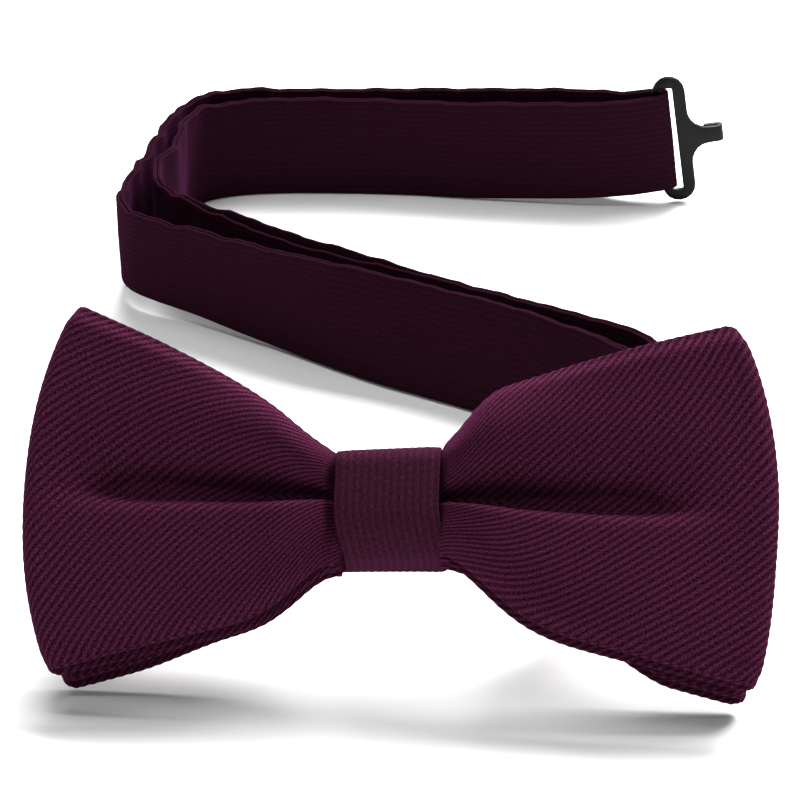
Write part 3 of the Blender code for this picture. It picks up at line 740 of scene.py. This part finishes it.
# Metal plates
def eased(node, body, width):
    """The CAD's own plate, with its sharp edges rounded to a width."""
    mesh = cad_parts[node].data.copy()
    shape = bmesh.new()
    shape.from_mesh(mesh)
    bmesh.ops.remove_doubles(shape, verts=shape.verts, dist=0.005 * MM)
    bmesh.ops.dissolve_limit(shape, angle_limit=math.radians(1.0), verts=shape.verts,
                             edges=shape.edges)
    shape.to_mesh(mesh)
    shape.free()
    obj = add(node + "_metal", mesh, METAL, body, "black_metal", node)
    bevel = obj.modifiers.new("eased", "BEVEL")
    bevel.width = width * MM
    bevel.segments = 3
    bevel.limit_method = "ANGLE"
    bevel.angle_limit = math.radians(35)
    bpy.context.view_layer.update()
    evaluated = obj.evaluated_get(bpy.context.evaluated_depsgraph_get())
    done = bpy.data.meshes.new_from_object(evaluated)
    obj.modifiers.clear()
    obj.data = done


eased("hook", "hook", 0.22)
eased("eye", "eye", 0.22)
eased("slider", "slider", 0.2)

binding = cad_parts["waist_binding_thread"].data
binding.materials.clear()
binding.materials.append(THREAD)

# Floor, light and camera
bpy.ops.mesh.primitive_plane_add(size=6.0, location=(0, 0, 0))
floor = bpy.context.object
floor.name = "floor"
floor_look, floor_tree, floor_shader = shader_of("white_table", (0.93, 0.93, 0.93), 0.9)
floor_place = floor_tree.nodes.new("ShaderNodeTexCoord")
floor_grain = noise(floor_tree, floor_place.outputs["Object"], 3.0, 2.0)
floor_stops = ((0.3, (0.925, 0.925, 0.925)), (0.7, (0.935, 0.935, 0.935)))
floor_tree.links.new(ramp(floor_tree, floor_grain, floor_stops), floor_shader.inputs["Base Color"])
floor_shader.inputs["Specular IOR Level"].default_value = 0.1
floor.data.materials.append(floor_look)


def area_light(name, place, target, size, watts):
    data = bpy.data.lights.new(name, "AREA")
    data.shape = "RECTANGLE"
    data.size, data.size_y = size
    data.energy = watts
    light = bpy.data.objects.new(name, data)
    light.location = place
    light.rotation_euler = (Vector(target) - Vector(place)).to_track_quat("-Z", "Y").to_euler()
    bpy.context.scene.collection.objects.link(light)


area_light("key", (0.35, 0.80, 1.00), (0, 0, 0.02), (1.3, 0.8), 66.0)
area_light("top", (-0.2, 0.0, 1.2), (0, 0, 0.02), (0.8, 0.8), 6.0)
area_light("front", (-0.2, -1.0, 0.7), (0, 0, 0.02), (0.9, 0.5), 1.6)

world = bpy.data.worlds.new("studio")
world.use_nodes = True
background = world.node_tree.nodes["Background"]
background.inputs["Color"].default_value = (1.0, 1.0, 1.0, 1.0)
background.inputs["Strength"].default_value = 0.2
bpy.context.scene.world = world
bpy.context.scene.view_settings.view_transform = "Standard"

tilt = math.radians(CAMERA_TILT)
forward = Vector((0, math.cos(tilt), -math.sin(tilt)))
upward = Vector((0, math.sin(tilt), math.cos(tilt)))
sight = KNOT_AT + SHIFT + Vector((1, 0, 0)) * CAMERA_OFF[0] + upward * CAMERA_OFF[1]
camera_data = bpy.data.cameras.new("camera")
camera_data.lens = CAMERA_LENS
camera_data.sensor_width = 36.0
camera_data.clip_start = 0.01
camera = bpy.data.objects.new("camera", camera_data)
camera.location = (sight - forward * CAMERA_FAR) * MM
camera.rotation_euler = (math.pi / 2 - tilt, 0, 0)
bpy.context.scene.collection.objects.link(camera)
bpy.context.scene.camera = camera

lengths = {"band": band_length, "short_strap": short_length, "slider_tab": tab_length}
print("strap lengths in mm", {name: round(length, 1) for name, length in lengths.items()})
